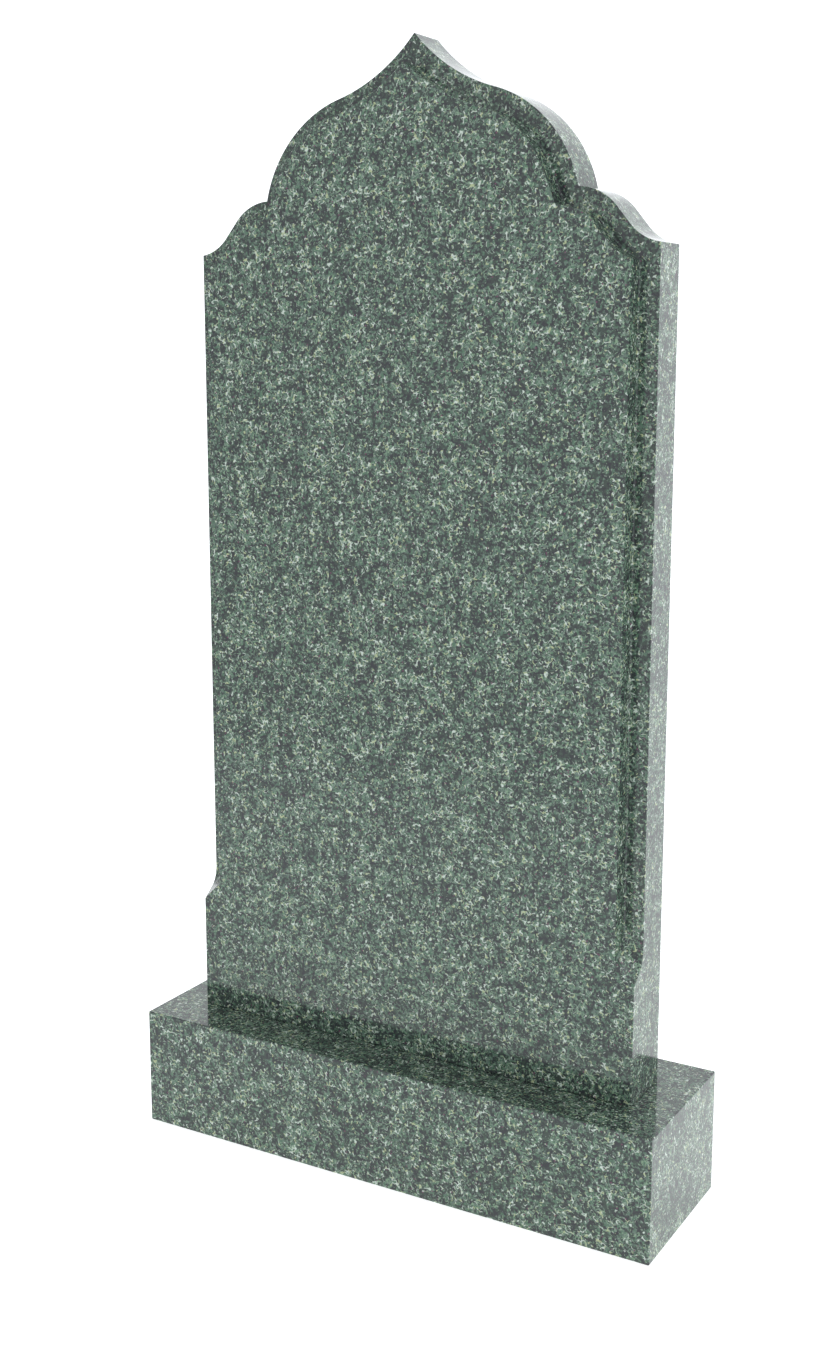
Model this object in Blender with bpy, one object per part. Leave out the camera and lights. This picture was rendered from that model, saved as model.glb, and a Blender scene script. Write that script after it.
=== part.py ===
# Granite headstone: an upright stele with an ogee head, standing on a plain plinth.
# Metres, +Z up, the front faces -Y, the origin is the middle of the plinth's underside.

import math

import bmesh
import bpy
from mathutils import Matrix, Vector

# Plinth
PLINTH_WIDTH = 0.700
PLINTH_DEPTH = 0.200
PLINTH_HEIGHT = 0.150

# Stele, measured from its foot
STELE_WIDTH = 0.600
STELE_HEIGHT = 1.200
STELE_THICKNESS = 0.080
BED_JOINT = 0.0003          # between the plinth's top and the stele's foot

# Head: from the apex an ogee falls to a notch, and a second one to the shoulder's tip
DOME_RISE = 0.1755          # apex above the notches
SHOULDER_WIDTH = 0.0965     # notch to tip, across
SHOULDER_DROP = 0.0610      # notch down to tip
SHOULDER_STRAIGHT = 0.0244  # between the shoulder's two arcs

# Angles of each ogee to the straight line between its ends, in degrees, up is positive
DOME_LEAVES = -8.5
DOME_CROSSES = 24.5
DOME_ARRIVES = -37.2
SHOULDER_LEAVES = 30.3
SHOULDER_CROSSES = -18.1
SHOULDER_ARRIVES = 24.3

# Rebate: the border sunk along the outline, which leaves the front panel raised
REBATE_WIDTH = 0.024
REBATE_DEPTH = 0.025
NOTCH_POINT = 0.001         # by how much the border is wider at the panel's pointed notch
STOP_HEIGHT = 0.144         # where the rebate's arris runs out to the stele's side
STOP_TURN = 45.0            # of the arris from upright to outwards, in degrees
STOP_SLOPE = 60.0           # of the stop's ramp to the face, in degrees
STOP_FILLET = 0.020         # where the ramp sweeps up into the border's floor

ARC_STEP = 2.5              # degrees of arc in one facet
CUT_MARGIN = 0.020          # how far a cutter stands clear of the stone it doesn't cut
WELD = 0.00001              # points nearer than this are one point

FRONT = -STELE_THICKNESS / 2
HALF_WIDTH = STELE_WIDTH / 2
FOOT = PLINTH_HEIGHT + BED_JOINT
NOTCH = Vector((HALF_WIDTH - SHOULDER_WIDTH, STELE_HEIGHT - DOME_RISE))
TIP = Vector((HALF_WIDTH, NOTCH.y - SHOULDER_DROP))
APEX = Vector((0.0, STELE_HEIGHT))


def clear_scene():
    for obj in list(bpy.data.objects):
        bpy.data.objects.remove(obj, do_unlink=True)


def new_collection(name):
    collection = bpy.data.collections.new(name)
    bpy.context.scene.collection.children.link(collection)
    return collection


def granite(name, colour, roughness):
    material = bpy.data.materials.new(name)
    material.use_nodes = True
    shader = material.node_tree.nodes["Principled BSDF"]
    shader.inputs["Base Color"].default_value = (*colour, 1.0)
    shader.inputs["Roughness"].default_value = roughness
    shader.inputs["Metallic"].default_value = 0.0
    return material


# Outline

def direction(heading):
    return Vector((math.cos(heading), math.sin(heading)))


def inward(heading):
    # The stone lies to the right of a line that runs down the right side
    return Vector((math.sin(heading), -math.cos(heading)))


def arc_step(heading, next_heading):
    # From one end of an arc to the other, for a radius of 1, positive when it turns left
    return inward(next_heading) - inward(heading)


def ogee(start, end, leaves, crosses, arrives, straight=0.0):
    # Two arcs that bend opposite ways and meet on a straight of the given length.
    # An arc is its centre, its signed radius and its two headings.
    chord = math.atan2(end.y - start.y, end.x - start.x)
    first, middle, last = (chord + math.radians(angle) for angle in (leaves, crosses, arrives))
    step_a = arc_step(first, middle)
    step_b = arc_step(middle, last)
    gap = end - start - straight * direction(middle)
    steps = Matrix(((step_a.x, step_b.x), (step_a.y, step_b.y)))
    radius_a, radius_b = steps.inverted() @ gap
    centre_a = start - radius_a * inward(first)
    centre_b = end - radius_b * inward(last)
    return [(centre_a, radius_a, first, middle), (centre_b, radius_b, middle, last)]


def heading_at_x(centre, radius, x):
    return math.asin((x - centre.x) / radius)


def tangent_heading(centre, radius, point, side):
    # Heading of the line that touches an arc and runs through a point outside it. The side is
    # +1 where the line follows the arc and -1 where the arc follows the line.
    spoke = point - centre
    swing = math.acos(abs(radius) / spoke.length)
    return math.atan2(spoke.y, spoke.x) + side * swing - math.pi / 2


def arc_points(centre, radius, first, last):
    count = max(2, math.ceil(abs(math.degrees(last - first)) / ARC_STEP))
    return [centre + radius * inward(first + (last - first) * i / count) for i in range(count + 1)]


def head_outline(inset):
    # The right half of the head, apex to shoulder tip, set in from the slab's own outline.
    # Every arc keeps its centre. The panel's notch is a point, drawn with two straight lines
    # that touch the arcs on either side of it.
    dome = ogee(APEX, NOTCH, DOME_LEAVES, DOME_CROSSES, DOME_ARRIVES)
    shoulder = ogee(NOTCH, TIP, SHOULDER_LEAVES, SHOULDER_CROSSES, SHOULDER_ARRIVES,
                    SHOULDER_STRAIGHT)
    (c1, r1, a1, b1), (c2, r2, a2, b2), (c3, r3, a3, b3), (c4, r4, a4, b4) = [
        (centre, radius + inset, first, last) for centre, radius, first, last in dome + shoulder]
    notch = NOTCH
    if inset:
        notch = NOTCH + (inset + NOTCH_POINT) * inward((b2 + a3) / 2)
        a1 = heading_at_x(c1, r1, APEX.x)
        b2 = tangent_heading(c2, r2, notch, 1)
        a3 = tangent_heading(c3, r3, notch, -1)
        b4 = heading_at_x(c4, r4, HALF_WIDTH - inset)
    dome_end = arc_points(c2, r2, a2, b2)[1:]
    shoulder_start = arc_points(c3, r3, a3, b3)
    if inset:
        middle = dome_end + [notch] + shoulder_start
    else:
        middle = dome_end + shoulder_start[1:]
    return arc_points(c1, r1, a1, b1) + middle + arc_points(c4, r4, a4, b4)


def mirrored(half):
    # A half outline that starts on the middle line, closed with its own mirror image
    return half + [Vector((-point.x, point.y)) for point in reversed(half[1:])]


def slab_outline():
    return mirrored(head_outline(0.0) + [Vector((HALF_WIDTH, 0.0))])


def rebate_outline():
    # Everything in front of the border's floor that lies outside the panel: an arch-shaped
    # area whose inner edge is the panel's outline and whose outer edge clears the slab.
    outer = HALF_WIDTH + CUT_MARGIN
    panel_edge = HALF_WIDTH - REBATE_WIDTH
    inner = head_outline(REBATE_WIDTH) + [Vector((panel_edge, STOP_HEIGHT - CUT_MARGIN))]
    left_inner = [Vector((-point.x, point.y)) for point in inner[1:]]
    return (inner
            + [Vector((outer, STOP_HEIGHT - CUT_MARGIN)), Vector((outer, STELE_HEIGHT + CUT_MARGIN)),
               Vector((-outer, STELE_HEIGHT + CUT_MARGIN)),
               Vector((-outer, STOP_HEIGHT - CUT_MARGIN))]
            + list(reversed(left_inner)))


def stop_profile():
    # Section square to the stop's arris: x runs from the arris into the rebate, y is the depth
    # behind the face. A straight ramp, then a fillet that ends level with the border's floor.
    slope = math.radians(STOP_SLOPE)
    ramp_depth = REBATE_DEPTH - STOP_FILLET * (1 - math.cos(slope))
    ramp_run = ramp_depth / math.tan(slope)
    floor_run = ramp_run + STOP_FILLET * math.sin(slope)
    centre = Vector((floor_run, REBATE_DEPTH - STOP_FILLET))
    count = math.ceil(STOP_SLOPE / ARC_STEP)
    fillet = []
    for i in range(count + 1):
        angle = slope * (1 - i / count)
        fillet.append(centre + STOP_FILLET * Vector((-math.sin(angle), math.cos(angle))))
    back = REBATE_DEPTH + CUT_MARGIN
    far = STELE_WIDTH / 2
    return ([Vector((-CUT_MARGIN / math.tan(slope), -CUT_MARGIN))] + fillet
            + [Vector((floor_run, back)), Vector((-far, back)), Vector((-far, -CUT_MARGIN))])


# Solids

def prism(name, points, thickness, collection, material=None):
    # A flat outline in XY, given thickness along Z and welded into one closed mesh
    curve = bpy.data.curves.new(name, "CURVE")
    curve.dimensions = "2D"
    curve.fill_mode = "BOTH"
    curve.extrude = thickness / 2
    spline = curve.splines.new("POLY")
    spline.points.add(len(points) - 1)
    for spline_point, point in zip(spline.points, points):
        spline_point.co = (point.x, point.y, 0.0, 1.0)
    spline.use_cyclic_u = True
    drawn = bpy.data.objects.new(name + "_outline", curve)
    collection.objects.link(drawn)
    mesh = bpy.data.meshes.new_from_object(drawn.evaluated_get(bpy.context.evaluated_depsgraph_get()))
    bpy.data.objects.remove(drawn, do_unlink=True)
    bpy.data.curves.remove(curve)
    mesh.name = name
    weld(mesh)
    solid = bpy.data.objects.new(name, mesh)
    if material:
        mesh.materials.append(material)
    collection.objects.link(solid)
    return solid


def weld(mesh):
    bm = bmesh.new()
    bm.from_mesh(mesh)
    bmesh.ops.remove_doubles(bm, verts=bm.verts, dist=WELD)
    bmesh.ops.recalc_face_normals(bm, faces=bm.faces)
    bm.to_mesh(mesh)
    bm.free()


def cut(solid, cutter):
    difference = solid.modifiers.new("cut_" + cutter.name, "BOOLEAN")
    difference.operation = "DIFFERENCE"
    difference.solver = "EXACT"
    difference.object = cutter
    cutter.hide_render = True
    cutter.display_type = "WIRE"


def upright(y):
    # An outline drawn in XY stands up facing the front, its own Z pointing to -Y, its middle at y
    return Matrix.Translation((0.0, y, 0.0)) @ Matrix.Rotation(math.pi / 2, 4, "X")


def stop_frame(side):
    # The stop's section is swept along its arris, which runs down and outwards at STOP_TURN
    turn = math.radians(STOP_TURN)
    along = Vector((side * math.sin(turn), 0.0, -math.cos(turn)))
    behind = Vector((0.0, 1.0, 0.0))
    into_rebate = Vector((side * math.cos(turn), 0.0, math.sin(turn)))
    sweep = along if side > 0 else -along
    matrix = Matrix.Identity(4)
    for column, axis in enumerate((into_rebate, behind, sweep)):
        for row in range(3):
            matrix[row][column] = axis[row]
    corner = Vector((side * HALF_WIDTH, FRONT, FOOT + STOP_HEIGHT))
    return Matrix.Translation(corner) @ matrix


def make_plinth(collection, material):
    mesh = bpy.data.meshes.new("plinth")
    bm = bmesh.new()
    bmesh.ops.create_cube(bm, size=1.0)
    bmesh.ops.scale(bm, vec=(PLINTH_WIDTH, PLINTH_DEPTH, PLINTH_HEIGHT), verts=bm.verts)
    bmesh.ops.translate(bm, vec=(0.0, 0.0, PLINTH_HEIGHT / 2), verts=bm.verts)
    bm.to_mesh(mesh)
    bm.free()
    mesh.materials.append(material)
    plinth = bpy.data.objects.new("plinth", mesh)
    collection.objects.link(plinth)
    return plinth


def make_rebate_cutter(cutters):
    depth = REBATE_DEPTH + CUT_MARGIN
    rebate = prism("rebate", rebate_outline(), depth, cutters)
    middle = FRONT + REBATE_DEPTH - depth / 2
    rebate.matrix_world = Matrix.Translation((0.0, 0.0, FOOT)) @ upright(middle)
    stop_length = 2 * (STOP_HEIGHT - CUT_MARGIN)
    for side, name in ((1, "right_stop"), (-1, "left_stop")):
        stop = prism(name, stop_profile(), stop_length, cutters)
        stop.matrix_world = stop_frame(side)
        cut(rebate, stop)
    return rebate


def make_stele(collection, cutters, material):
    stele = prism("stele", slab_outline(), STELE_THICKNESS, collection, material)
    stele.matrix_world = Matrix.Translation((0.0, 0.0, FOOT)) @ upright(0.0)
    cut(stele, make_rebate_cutter(cutters))
    return stele


clear_scene()
headstone = new_collection("headstone")
cutting_shapes = new_collection("cutters")
polished_green = granite("polished_green_granite", (0.085, 0.120, 0.100), 0.12)
polished_plinth = granite("polished_green_granite_plinth", (0.080, 0.112, 0.094), 0.12)
make_plinth(headstone, polished_plinth)
make_stele(headstone, cutting_shapes, polished_green)
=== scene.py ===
import math

import bmesh
import bpy
from mathutils import Matrix, Vector


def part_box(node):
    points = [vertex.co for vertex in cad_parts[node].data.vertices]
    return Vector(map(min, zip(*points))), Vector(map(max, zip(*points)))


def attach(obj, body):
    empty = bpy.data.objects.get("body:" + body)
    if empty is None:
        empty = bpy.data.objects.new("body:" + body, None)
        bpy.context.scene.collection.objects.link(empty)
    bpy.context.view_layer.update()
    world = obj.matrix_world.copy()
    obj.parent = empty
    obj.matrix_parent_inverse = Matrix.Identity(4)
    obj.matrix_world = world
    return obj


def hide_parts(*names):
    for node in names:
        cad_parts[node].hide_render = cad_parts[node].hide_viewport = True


# A headstone of polished green granite: a stele with an ogee head on a plain plinth.
# Metres, front towards -Y. Each block's place and size come from the frame.

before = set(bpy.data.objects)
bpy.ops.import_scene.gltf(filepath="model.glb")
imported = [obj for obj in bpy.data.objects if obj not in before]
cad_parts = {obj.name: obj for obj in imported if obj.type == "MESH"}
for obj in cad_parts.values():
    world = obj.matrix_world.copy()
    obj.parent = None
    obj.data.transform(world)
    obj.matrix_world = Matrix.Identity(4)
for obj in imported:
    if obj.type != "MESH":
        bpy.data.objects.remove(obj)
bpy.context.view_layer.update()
print("frame loaded:", sorted(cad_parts))

stele = {
    "domeRise": 0.1755,         # apex above the notches
    "domeTurns": (-8.5, 24.5, -37.2),   # headings along an ogee, from the line between its ends
    "shoulderWidth": 0.0965,    # notch to tip
    "shoulderDrop": 0.0610,
    "shoulderStraight": 0.0244, # between its two arcs
    "shoulderTurns": (30.3, -18.1, 24.3),
    "rebateWidth": 0.024,       # the sunk border round the panel
    "rebateDepth": 0.025,
    "notchPoint": 0.001,        # by how much it is wider at the panel's pointed notch
    "rootFillet": 0.003,        # left by the cutter between the border's wall and floor
    "stopHeight": 0.144,        # where the stop's arris meets the side, above the foot
    "stopTurn": 45.0,           # of that arris, seen from the front
    "stopSlope": 60.0,
    "stopFillet": 0.020,
    "arcStep": 1.0,             # degrees between points of an arc
    "arris": 0.0012,            # the rubbed edge
    "arrisSteps": 3,
}

plinth = {
    "arris": 0.0015,
    "arrisSteps": 3,
}

clearance = 0.02                # how far a cutting shape stands clear of the stone
weld = 0.00002                  # points nearer than this are one point


# Small helpers

def newObject(name, bm):
    mesh = bpy.data.meshes.new(name)
    bm.to_mesh(mesh)
    bm.free()
    made = bpy.data.objects.new(name, mesh)
    bpy.context.scene.collection.objects.link(made)
    return made


def cutAway(target, cutter):
    # The cutter is used up
    boolean = target.modifiers.new("cut", "BOOLEAN")
    boolean.operation = "DIFFERENCE"
    boolean.solver = "EXACT"
    boolean.object = cutter
    view = bpy.context.evaluated_depsgraph_get()
    cutMesh = bpy.data.meshes.new_from_object(target.evaluated_get(view))
    oldMesh = target.data
    target.modifiers.remove(boolean)
    target.data = cutMesh
    bpy.data.meshes.remove(oldMesh)
    bpy.data.objects.remove(cutter)


def inwards(heading):
    # To the right of somebody who walks along the outline
    return Vector((math.sin(heading), -math.cos(heading)))


def ogee(start, end, turns, straight=0.0):
    # Two arcs that bend opposite ways: each is its centre, signed radius and two headings
    chord = math.atan2(end.y - start.y, end.x - start.x)
    first, middle, last = (chord + math.radians(turn) for turn in turns)
    stepA = inwards(middle) - inwards(first)
    stepB = inwards(last) - inwards(middle)
    along = Vector((math.cos(middle), math.sin(middle)))
    gap = end - start - straight * along
    radiusA, radiusB = Matrix(((stepA.x, stepB.x), (stepA.y, stepB.y))).inverted() @ gap
    centreA = start - radiusA * inwards(first)
    centreB = end - radiusB * inwards(last)
    return [[centreA, radiusA, first, middle], [centreB, radiusB, middle, last]]


def tangentHeading(arc, point, side):
    # Side is +1 where the line follows the arc and -1 where the arc follows the line
    spoke = point - arc[0]
    swing = math.acos(abs(arc[1]) / spoke.length)
    return math.atan2(spoke.y, spoke.x) + side * swing - math.pi / 2


def headLine(size, halfWidth, height, inset):
    # The right half of the head from its apex, moved in by the inset: arcs and bare points
    apex = Vector((0.0, height))
    notch = Vector((halfWidth - size["shoulderWidth"], height - size["domeRise"]))
    tip = Vector((halfWidth, notch.y - size["shoulderDrop"]))
    arcs = ogee(apex, notch, size["domeTurns"])
    arcs += ogee(notch, tip, size["shoulderTurns"], size["shoulderStraight"])
    if inset:
        for arc in arcs:
            arc[1] += inset
        notch += (inset + size["notchPoint"]) * inwards((arcs[1][3] + arcs[2][2]) / 2)
        arcs[0][2] = math.asin(-arcs[0][0].x / arcs[0][1])
        arcs[1][3] = tangentHeading(arcs[1], notch, 1)
        arcs[2][2] = tangentHeading(arcs[2], notch, -1)
        arcs[3][3] = math.asin((halfWidth - inset - arcs[3][0].x) / arcs[3][1])
    return arcs[:2], notch, arcs[2:]


def extendTo(bm, last, x, z):
    drawn = bmesh.ops.extrude_vert_indiv(bm, verts=[last])["verts"][0]
    drawn.co = (x, last.co.y, z)
    return drawn


def drawTo(bm, last, x, z):
    # Nothing is drawn where the line is already there
    if (Vector((last.co.x, last.co.z)) - Vector((x, z))).length < weld:
        return last
    return extendTo(bm, last, x, z)


def spinArc(bm, last, arc, step):
    centre, radius, first, final = arc
    begin = centre + radius * inwards(first)
    last = drawTo(bm, last, begin.x, begin.y)
    steps = math.ceil(abs(math.degrees(final - first)) / step)
    spun = bmesh.ops.spin(bm, geom=[last], cent=(centre.x, last.co.y, centre.y), axis=(0, 1, 0),
                          angle=first - final, steps=steps, use_duplicate=False)
    return [item for item in spun["geom_last"] if isinstance(item, bmesh.types.BMVert)][0]


def drawHead(bm, size, halfWidth, height, inset, y):
    # One vertex is spun round each arc's centre, from the apex to the shoulder's tip
    dome, notch, shoulder = headLine(size, halfWidth, height, inset)
    centre, radius, heading = dome[0][:3]
    start = centre + radius * inwards(heading)
    last = bmesh.ops.create_vert(bm, co=(start.x, y, start.y))["vert"][0]
    for arc in dome:
        last = spinArc(bm, last, arc, size["arcStep"])
    last = drawTo(bm, last, notch.x, notch.y)
    for arc in shoulder:
        last = spinArc(bm, last, arc, size["arcStep"])
    return last


def fillAndExtrude(bm, move):
    face = bmesh.ops.contextual_create(bm, geom=list(bm.edges))["faces"]
    swept = bmesh.ops.extrude_face_region(bm, geom=face)["geom"]
    moved = [item for item in swept if isinstance(item, bmesh.types.BMVert)]
    bmesh.ops.translate(bm, verts=moved, vec=move)
    bmesh.ops.recalc_face_normals(bm, faces=bm.faces)


def mirrorHalf(bm):
    bmesh.ops.mirror(bm, geom=list(bm.verts) + list(bm.edges), matrix=Matrix.Identity(4),
                     merge_dist=weld, axis="X")


def closeFoot(bm):
    # The two lowest points of an open outline are joined
    feet = sorted(bm.verts, key=lambda vert: vert.co.z)[:2]
    bmesh.ops.contextual_create(bm, geom=feet)


def roundArrises(bm, offset, steps, sharpest):
    # Only edges that stand out are rubbed round
    outer = [edge for edge in bm.edges if len(edge.link_faces) == 2 and edge.is_convex
             and edge.calc_face_angle() > sharpest]
    bmesh.ops.bevel(bm, geom=outer, offset=offset, offset_type="OFFSET", affect="EDGES",
                    segments=steps, profile=0.5, material=-1, clamp_overlap=True)


def shadeByAngle(made, degrees):
    # The big faces keep their own normals, so the polish reflects straight
    made.data.shade_smooth()
    made.data.set_sharp_from_angle(angle=math.radians(degrees))
    weighted = made.modifiers.new("big_faces_flat", "WEIGHTED_NORMAL")
    weighted.weight = 100
    weighted.keep_sharp = True


# Stele

def makeSlab(size, low, high):
    bm = bmesh.new()
    last = drawHead(bm, size, high.x, high.z - low.z, 0.0, low.y)
    extendTo(bm, last, high.x, 0.0)
    mirrorHalf(bm)
    closeFoot(bm)
    fillAndExtrude(bm, (0, high.y - low.y, 0))
    bmesh.ops.translate(bm, verts=bm.verts, vec=(0, 0, low.z))
    return newObject("stele_slab", bm)


def makeRebateCutter(size, low, high):
    # An arch-shaped body that fills the border in front of its floor
    height = high.z - low.z
    outer = high.x + clearance
    bottom = size["stopHeight"] - clearance
    floorY = low.y + size["rebateDepth"]
    bm = bmesh.new()
    last = drawHead(bm, size, high.x, height, size["rebateWidth"], floorY)
    last = extendTo(bm, last, high.x - size["rebateWidth"], bottom)
    last = extendTo(bm, last, outer, bottom)
    last = extendTo(bm, last, outer, height + clearance)
    extendTo(bm, last, 0.0, height + clearance)
    mirrorHalf(bm)
    fillAndExtrude(bm, (0, -size["rebateDepth"] - clearance, 0))
    root = [edge for edge in bm.edges
            if all(abs(vert.co.y - floorY) < weld and abs(vert.co.x) < high.x
                   and vert.co.z < height for vert in edge.verts)]
    bmesh.ops.bevel(bm, geom=root, offset=size["rootFillet"], offset_type="OFFSET",
                    affect="EDGES", segments=4, profile=0.5, material=-1, clamp_overlap=True)
    bmesh.ops.translate(bm, verts=bm.verts, vec=(0, 0, low.z))
    return newObject("border_cutter", bm)


def makeStop(size, low, high, side):
    # The stone kept at the border's lower end: a ramp with a fillet, drawn with X into the
    # border and Y as depth, then swept along the stop's arris
    slope = math.radians(size["stopSlope"])
    depth = size["rebateDepth"]
    fillet = size["stopFillet"]
    rampDepth = depth - fillet * (1 - math.cos(slope))
    rampRun = rampDepth / math.tan(slope)
    floorRun = rampRun + fillet * math.sin(slope)
    reach = 2 * (size["rebateWidth"] + clearance)
    bm = bmesh.new()

    def lineTo(last, x, y):
        drawn = bmesh.ops.extrude_vert_indiv(bm, verts=[last])["verts"][0]
        drawn.co = (x, y, 0)
        return drawn

    first = bmesh.ops.create_vert(bm, co=(-clearance / math.tan(slope), -clearance, 0))["vert"][0]
    last = lineTo(first, rampRun, rampDepth)
    spun = bmesh.ops.spin(bm, geom=[last], cent=(floorRun, depth - fillet, 0), axis=(0, 0, 1),
                          angle=-slope, steps=math.ceil(size["stopSlope"] / 2),
                          use_duplicate=False)
    last = [item for item in spun["geom_last"] if isinstance(item, bmesh.types.BMVert)][0]
    last = lineTo(last, floorRun, depth + clearance)
    last = lineTo(last, -high.x, depth + clearance)
    last = lineTo(last, -high.x, -clearance)
    bmesh.ops.contextual_create(bm, geom=[first, last])
    fillAndExtrude(bm, (0, 0, 2 * reach))
    bmesh.ops.translate(bm, verts=bm.verts, vec=(0, 0, -reach))
    turn = math.radians(size["stopTurn"])
    intoBorder = Vector((side * math.cos(turn), 0, math.sin(turn)))
    behind = Vector((0, 1, 0))
    matrix = Matrix((intoBorder, behind, intoBorder.cross(behind))).transposed().to_4x4()
    corner = Matrix.Translation((side * high.x, low.y, low.z + size["stopHeight"]))
    bmesh.ops.transform(bm, matrix=corner @ matrix, verts=bm.verts)
    return newObject("stop_keep", bm)


def makeStele(size):
    low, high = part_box("stele")
    made = makeSlab(size, low, high)
    cutter = makeRebateCutter(size, low, high)
    for side in (1, -1):
        cutAway(cutter, makeStop(size, low, high, side))
    cutAway(made, cutter)
    made.name = "polished_stele"
    bm = bmesh.new()
    bm.from_mesh(made.data)
    bmesh.ops.remove_doubles(bm, verts=bm.verts, dist=weld)
    bmesh.ops.dissolve_limit(bm, angle_limit=math.radians(0.05), verts=bm.verts, edges=bm.edges)
    bmesh.ops.recalc_face_normals(bm, faces=bm.faces)
    roundArrises(bm, size["arris"], size["arrisSteps"], math.radians(35))
    bm.to_mesh(made.data)
    bm.free()
    shadeByAngle(made, 50)
    return made


# Plinth

def makePlinth(size):
    low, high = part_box("plinth")
    bm = bmesh.new()
    bmesh.ops.create_cube(bm, size=1.0)
    bmesh.ops.scale(bm, vec=high - low, verts=bm.verts)
    bmesh.ops.translate(bm, vec=(low + high) / 2, verts=bm.verts)
    bmesh.ops.bevel(bm, geom=list(bm.edges), offset=size["arris"], offset_type="OFFSET",
                    affect="EDGES", segments=size["arrisSteps"], profile=0.5, material=-1,
                    clamp_overlap=True)
    made = newObject("polished_plinth", bm)
    shadeByAngle(made, 50)
    return made


# Materials

def linear(hexColour):
    # sRGB hex to the linear colour that a shader takes
    parts = [int(hexColour[i:i + 2], 16) / 255 for i in (1, 3, 5)]
    return [c / 12.92 if c <= 0.04045 else ((c + 0.055) / 1.055) ** 2.4 for c in parts] + [1.0]


def addNode(tree, kind, settings=None, inputs=None):
    # An input is a value, another node's output, or a node whose first output is taken
    node = tree.nodes.new(kind)
    for name, value in (settings or {}).items():
        setattr(node, name, value)
    for name, value in (inputs or {}).items():
        if isinstance(value, bpy.types.Node):
            value = value.outputs[0]
        if isinstance(value, bpy.types.NodeSocket):
            tree.links.new(value, node.inputs[name])
        else:
            node.inputs[name].default_value = value
    return node


def perMetre(millimetres):
    return 1000.0 / millimetres


granite = {
    "groundGrain": 4.5,         # mm, all sizes of grain
    "groundColours": ("#2d3034", "#38463e"),
    "greenGrain": 3.2,
    "greenColours": ("#4d6f58", "#5f7267"),
    "softFleck": {"spacing": 4.4, "width": 0.06, "length": 3.4, "share": 0.47,
                  "colours": ("#7f9d80", "#86978a")},
    "paleFleck": {"spacing": 6.4, "width": 0.06, "length": 3.8, "share": 0.54,
                  "colours": ("#c6d3c8", "#abb78d")},
    "cluster": 13.0,            # mm, where light grains crowd together
    "clusterDepth": 0.74,
    "patch": 40.0,
    "patchDepth": 0.38,
    "rustSpacing": 10.0,
    "rustColour": "#6f3c5a",
    "polish": 0.11,
}


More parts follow.
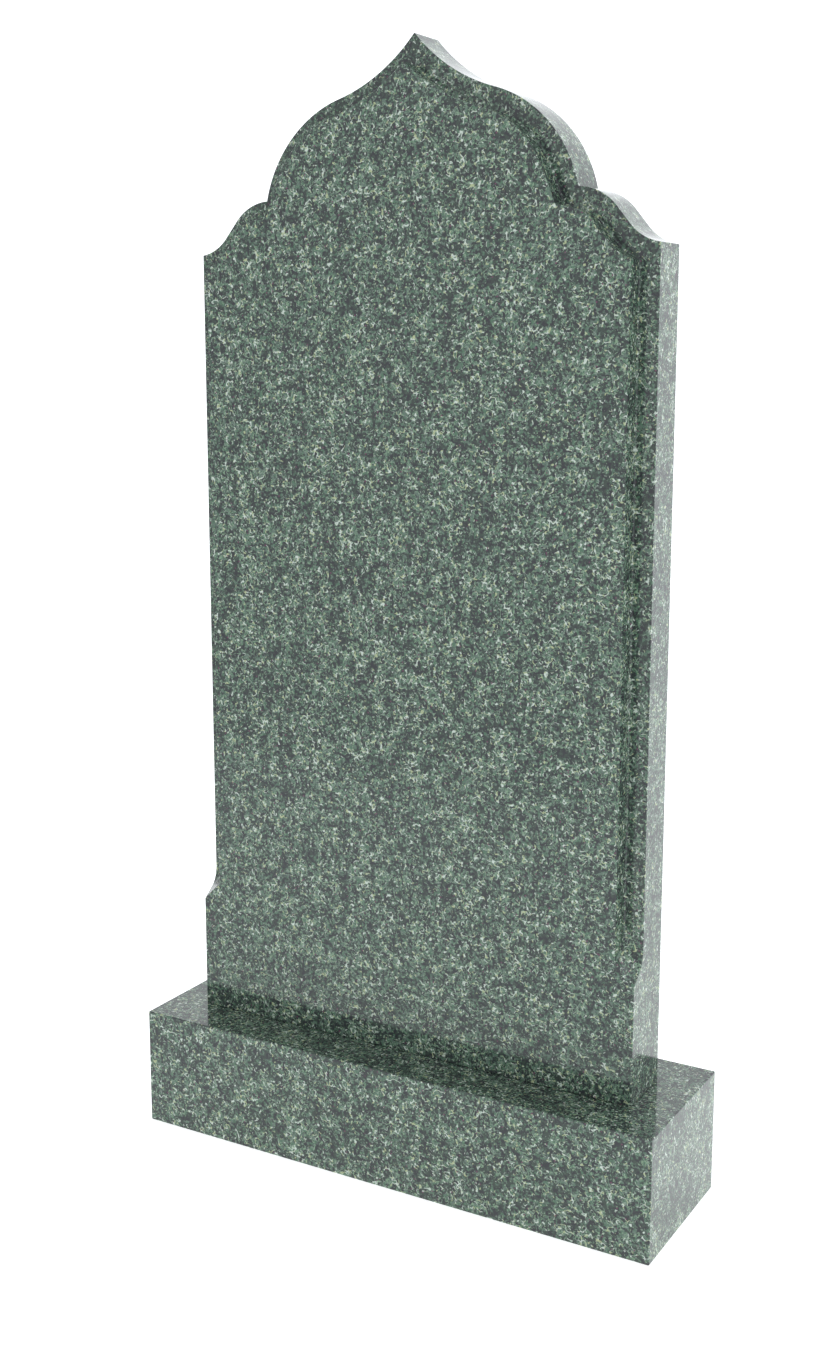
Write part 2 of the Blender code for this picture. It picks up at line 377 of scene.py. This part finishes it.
def polishedGreenGranite(name, look, seed):
    # Fine-grained green granite, sawn and polished with tin oxide: a glassy surface over grey
    # ground, felted green grains, pale winding flecks in loose clusters and a few rust dots
    material = bpy.data.materials.new(name)
    material.use_nodes = True
    tree = material.node_tree
    shader = tree.nodes["Principled BSDF"]
    shader.inputs["Roughness"].default_value = look["polish"]
    shader.inputs["IOR"].default_value = 1.54
    place = addNode(tree, "ShaderNodeTexCoord")
    spot = addNode(tree, "ShaderNodeMapping", {}, {"Vector": place.outputs["Object"],
                                                   "Location": (seed, seed, seed)})

    # How much the light grains crowd here, about zero on average
    cluster = addNode(tree, "ShaderNodeTexNoise", {},
                      {"Vector": spot, "Scale": perMetre(look["cluster"]), "Detail": 1.0})
    patch = addNode(tree, "ShaderNodeTexNoise", {},
                    {"Vector": spot, "Scale": perMetre(look["patch"]), "Detail": 2.0})
    clusterPart = addNode(tree, "ShaderNodeMath", {"operation": "MULTIPLY_ADD"},
                          {0: cluster, 1: look["clusterDepth"], 2: -look["clusterDepth"] / 2})
    patchPart = addNode(tree, "ShaderNodeMath", {"operation": "MULTIPLY_ADD"},
                        {0: patch, 1: look["patchDepth"], 2: -look["patchDepth"] / 2})
    crowd = addNode(tree, "ShaderNodeMath", {"operation": "ADD"}, {0: clusterPart, 1: patchPart})

    groundNoise = addNode(tree, "ShaderNodeTexNoise", {},
                          {"Vector": spot, "Scale": perMetre(look["groundGrain"])})
    groundTone = addNode(tree, "ShaderNodeMapRange", {"interpolation_type": "SMOOTHSTEP"},
                         {"Value": groundNoise, "From Min": 0.42, "From Max": 0.60})
    ground = addNode(tree, "ShaderNodeMix", {"data_type": "RGBA"},
                     {"Factor": groundTone, 6: linear(look["groundColours"][0]),
                      7: linear(look["groundColours"][1])})
    greenHue = addNode(tree, "ShaderNodeTexNoise", {},
                       {"Vector": spot, "Scale": perMetre(look["greenGrain"] * 1.15)})
    greenTone = addNode(tree, "ShaderNodeMapRange", {"interpolation_type": "SMOOTHSTEP"},
                        {"Value": greenHue, "From Min": 0.40, "From Max": 0.60})
    greens = addNode(tree, "ShaderNodeMix", {"data_type": "RGBA"},
                     {"Factor": greenTone, 6: linear(look["greenColours"][0]),
                      7: linear(look["greenColours"][1])})
    greenNoise = addNode(tree, "ShaderNodeTexNoise", {},
                         {"Vector": spot, "Scale": perMetre(look["greenGrain"])})
    greenCrowd = addNode(tree, "ShaderNodeMath", {"operation": "MULTIPLY_ADD"},
                         {0: crowd, 1: 0.4, 2: greenNoise})
    greenShare = addNode(tree, "ShaderNodeMapRange", {"interpolation_type": "SMOOTHSTEP"},
                         {"Value": greenCrowd, "From Min": 0.47, "From Max": 0.61})
    colour = addNode(tree, "ShaderNodeMix", {"data_type": "RGBA"},
                     {"Factor": greenShare, 6: ground.outputs[2], 7: greens.outputs[2]})

    # Each kind of fleck follows the middle level of a noise, which winds, and a second noise
    # breaks it into short lengths
    for fleck in (look["softFleck"], look["paleFleck"]):
        path = addNode(tree, "ShaderNodeTexNoise", {},
                       {"Vector": spot, "Scale": perMetre(fleck["spacing"]), "Detail": 1.0})
        fromPath = addNode(tree, "ShaderNodeMath", {"operation": "SUBTRACT"}, {0: path, 1: 0.5})
        distance = addNode(tree, "ShaderNodeMath", {"operation": "ABSOLUTE"}, {0: fromPath})
        line = addNode(tree, "ShaderNodeMapRange", {"interpolation_type": "SMOOTHSTEP"},
                       {"Value": distance, "From Min": fleck["width"] / 4,
                        "From Max": fleck["width"], "To Min": 1.0, "To Max": 0.0})
        gaps = addNode(tree, "ShaderNodeTexNoise", {},
                       {"Vector": spot, "Scale": perMetre(fleck["length"]), "Detail": 0.0})
        gapsCrowd = addNode(tree, "ShaderNodeMath", {"operation": "ADD"}, {0: gaps, 1: crowd})
        kept = addNode(tree, "ShaderNodeMapRange", {"interpolation_type": "SMOOTHSTEP"},
                       {"Value": gapsCrowd, "From Min": fleck["share"],
                        "From Max": fleck["share"] + 0.1})
        cover = addNode(tree, "ShaderNodeMath", {"operation": "MULTIPLY"}, {0: line, 1: kept})
        hueNoise = addNode(tree, "ShaderNodeTexNoise", {},
                           {"Vector": spot, "Scale": perMetre(fleck["length"] * 1.3)})
        hue = addNode(tree, "ShaderNodeMapRange", {"interpolation_type": "SMOOTHSTEP"},
                      {"Value": hueNoise, "From Min": 0.47, "From Max": 0.57})
        fleckColour = addNode(tree, "ShaderNodeMix", {"data_type": "RGBA"},
                              {"Factor": hue, 6: linear(fleck["colours"][0]),
                               7: linear(fleck["colours"][1])})
        colour = addNode(tree, "ShaderNodeMix", {"data_type": "RGBA"},
                         {"Factor": cover, 6: colour.outputs[2], 7: fleckColour.outputs[2]})

    rust = addNode(tree, "ShaderNodeTexVoronoi", {},
                   {"Vector": spot, "Scale": perMetre(look["rustSpacing"])})
    dot = addNode(tree, "ShaderNodeMapRange", {"interpolation_type": "SMOOTHSTEP"},
                  {"Value": rust, "From Min": 0.06, "From Max": 0.12, "To Min": 1.0,
                   "To Max": 0.0})
    colour = addNode(tree, "ShaderNodeMix", {"data_type": "RGBA"},
                     {"Factor": dot, 6: colour.outputs[2], 7: linear(look["rustColour"])})
    tree.links.new(colour.outputs[2], shader.inputs["Base Color"])
    return material


# Studio

studio = {
    "domeColour": "#f9fbff",    # daylight, slightly cool
    "floorSize": 3.2,
    "floorColour": "#e6e8ea",
    "frontPaintedGlow": 0.50,          # painted glow of the floor, weaker in front and brighter at the back
    "backPaintedGlow": 0.80,
    "frontLight": 1.09,         # from the dome before the stone
    "backLight": 1.70,          # and behind it
    "overhead": 0.74,           # share of that light left high up
    "farLeft": 0.50,            # and at the far left
}


def makeFloor(size):
    bm = bmesh.new()
    bmesh.ops.create_grid(bm, x_segments=1, y_segments=1, size=size["floorSize"] / 2)
    floor = newObject("floor", bm)
    material = bpy.data.materials.new("white_floor_with_painted_glow")
    material.use_nodes = True
    tree = material.node_tree
    shader = tree.nodes["Principled BSDF"]
    shader.inputs["Base Color"].default_value = linear(size["floorColour"])
    shader.inputs["Roughness"].default_value = 1.0
    # The floor glows: painted light that lifts it to white over its soft contact shadow, weaker
    # in front, so the floor's reflection in the stone's front faces is darker
    shader.inputs["Emission Color"].default_value = (1, 1, 1, 1)
    place = addNode(tree, "ShaderNodeTexCoord")
    parts = addNode(tree, "ShaderNodeSeparateXYZ", {}, {"Vector": place.outputs["Object"]})
    glow = addNode(tree, "ShaderNodeMapRange", {"interpolation_type": "SMOOTHSTEP"},
                   {"Value": parts.outputs["Y"], "From Min": -0.7, "From Max": 0.5,
                    "To Min": size["frontPaintedGlow"], "To Max": size["backPaintedGlow"]})
    tree.links.new(glow.outputs[0], shader.inputs["Emission Strength"])
    floor.data.materials.append(material)


def makeDome(size):
    world = bpy.data.worlds.new("white_dome")
    world.use_nodes = True
    bpy.context.scene.world = world
    tree = world.node_tree
    background = tree.nodes["Background"]
    place = addNode(tree, "ShaderNodeTexCoord")
    parts = addNode(tree, "ShaderNodeSeparateXYZ", {}, {"Vector": place.outputs["Generated"]})
    depth = addNode(tree, "ShaderNodeMapRange", {"interpolation_type": "SMOOTHSTEP"},
                    {"Value": parts.outputs["Y"], "From Min": -0.6, "From Max": 0.6,
                     "To Min": size["frontLight"], "To Max": size["backLight"]})
    height = addNode(tree, "ShaderNodeMapRange", {"interpolation_type": "SMOOTHSTEP"},
                     {"Value": parts.outputs["Z"], "From Min": 0.0, "From Max": 0.7,
                      "To Min": 1.0, "To Max": size["overhead"]})
    side = addNode(tree, "ShaderNodeMapRange", {"interpolation_type": "SMOOTHSTEP"},
                   {"Value": parts.outputs["X"], "From Min": -0.9, "From Max": -0.45,
                    "To Min": size["farLeft"], "To Max": 1.0})
    falloff = addNode(tree, "ShaderNodeMath", {"operation": "MULTIPLY"}, {0: height, 1: side})
    strength = addNode(tree, "ShaderNodeMath", {"operation": "MULTIPLY"}, {0: depth, 1: falloff})
    tree.links.new(strength.outputs[0], background.inputs["Strength"])
    background.inputs["Color"].default_value = linear(size["domeColour"])


camera = {
    "frameSize": (825, 1347),
    "focal": 1650.4,            # pixels
    "opticalRow": 623.9,        # row of the frame that the lens looks straight at
    "place": (0.9659, -1.6853, 1.0134),
    "azimuth": 30.09,
    "elevation": 9.82,
}


def makeCamera(size):
    data = bpy.data.cameras.new("camera")
    made = bpy.data.objects.new("camera", data)
    bpy.context.scene.collection.objects.link(made)
    width, height = size["frameSize"]
    data.sensor_width = 36.0
    data.lens = size["focal"] * data.sensor_width / height
    data.shift_y = (size["opticalRow"] - height / 2) / height
    azimuth = math.radians(size["azimuth"])
    elevation = math.radians(size["elevation"])
    sight = Vector((-math.sin(azimuth) * math.cos(elevation),
                    math.cos(azimuth) * math.cos(elevation), -math.sin(elevation)))
    made.location = size["place"]
    made.rotation_euler = sight.to_track_quat("-Z", "Y").to_euler()
    bpy.context.scene.camera = made


makeCamera(camera)
makeDome(studio)
makeFloor(studio)
bpy.context.scene.view_settings.view_transform = "Standard"
print("studio ready")

stelePiece = makeStele(stele)
stelePiece.data.materials.clear()
steleStone = polishedGreenGranite("polished_green_granite", granite, 0.0)
stelePiece.data.materials.append(steleStone)
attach(stelePiece, "root")
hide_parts("stele")
print("stele:", len(stelePiece.data.polygons), "faces")

plinthPiece = makePlinth(plinth)
plinthStone = polishedGreenGranite("polished_green_granite_plinth", granite, 3.1)
plinthPiece.data.materials.append(plinthStone)
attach(plinthPiece, "root")
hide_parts("plinth")
print("plinth:", len(plinthPiece.data.polygons), "faces")
